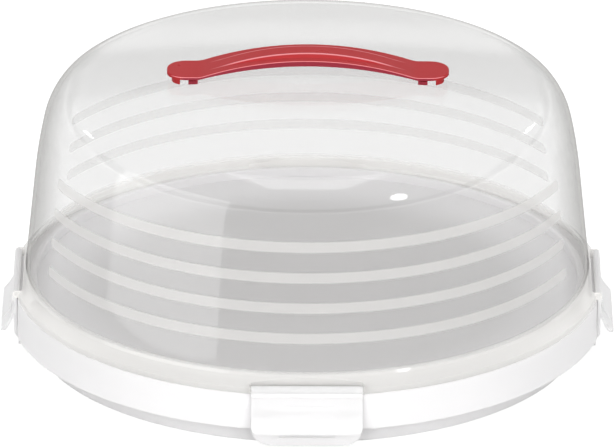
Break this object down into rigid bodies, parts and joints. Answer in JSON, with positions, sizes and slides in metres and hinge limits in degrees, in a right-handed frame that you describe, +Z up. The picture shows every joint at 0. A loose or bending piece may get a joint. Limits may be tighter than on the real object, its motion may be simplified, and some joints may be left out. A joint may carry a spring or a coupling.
{
  "type": "cake carrier",
  "caption": "Round domed cake carrier: clear lid with an arched carrying handle, standing on a white tray and held by hinged clips that hook under its skirt.",
  "frame": {"origin": "centre of the carrier's axis on the surface that the tray stands on", "axes": "+Z up along the carrier's axis, -Y towards the front clip, +X to the right along the handle"},
  "size_m": [0.347, 0.347, 0.1733],
  "materials": {
    "tray_white": "satin moulded polypropylene",
    "clear_lid": "clear moulded plastic with frosted stripes",
    "red_handle": "satin moulded plastic",
    "clip_white": "satin moulded polypropylene"
  },
  "bodies": {
    "tray": {"base_tray": "tray_white"},
    "lid": {"dome_lid": "clear_lid", "carry_handle": "red_handle"},
    "clip_front": {"clip_front": "clip_white"},
    "clip_right": {"clip_right": "clip_white"},
    "clip_back": {"clip_back": "clip_white"},
    "clip_left": {"clip_left": "clip_white"}
  },
  "joints": [
    {"name": "lid_lift", "type": "slide", "parent": "tray", "child": "lid", "axis": [0, 0, 1], "range_m": [0, 0.04]},
    {"name": "clip_right_hinge", "type": "hinge", "parent": "lid", "child": "clip_right", "pos_m": [0.1647, 0, 0.0363], "axis": [0, -1, 0], "range_deg": [0, 100]},
    {"name": "clip_back_hinge", "type": "hinge", "parent": "lid", "child": "clip_back", "pos_m": [0, 0.1647, 0.0363], "axis": [1, 0, 0], "range_deg": [0, 100]},
    {"name": "clip_left_hinge", "type": "hinge", "parent": "lid", "child": "clip_left", "pos_m": [-0.1647, 0, 0.0363], "axis": [0, 1, 0], "range_deg": [0, 100]},
    {"name": "clip_front_hinge", "type": "hinge", "parent": "lid", "child": "clip_front", "pos_m": [0, -0.1647, 0.0363], "axis": [-1, 0, 0], "range_deg": [0, 100]}
  ],
  "couplings": [
    {"joint": "clip_right_hinge", "follows": "lid_lift", "rad_per_m": 43.6},
    {"joint": "clip_back_hinge", "follows": "lid_lift", "rad_per_m": 43.6},
    {"joint": "clip_left_hinge", "follows": "lid_lift", "rad_per_m": 43.6},
    {"joint": "clip_front_hinge", "follows": "lid_lift", "rad_per_m": 43.6}
  ]
}
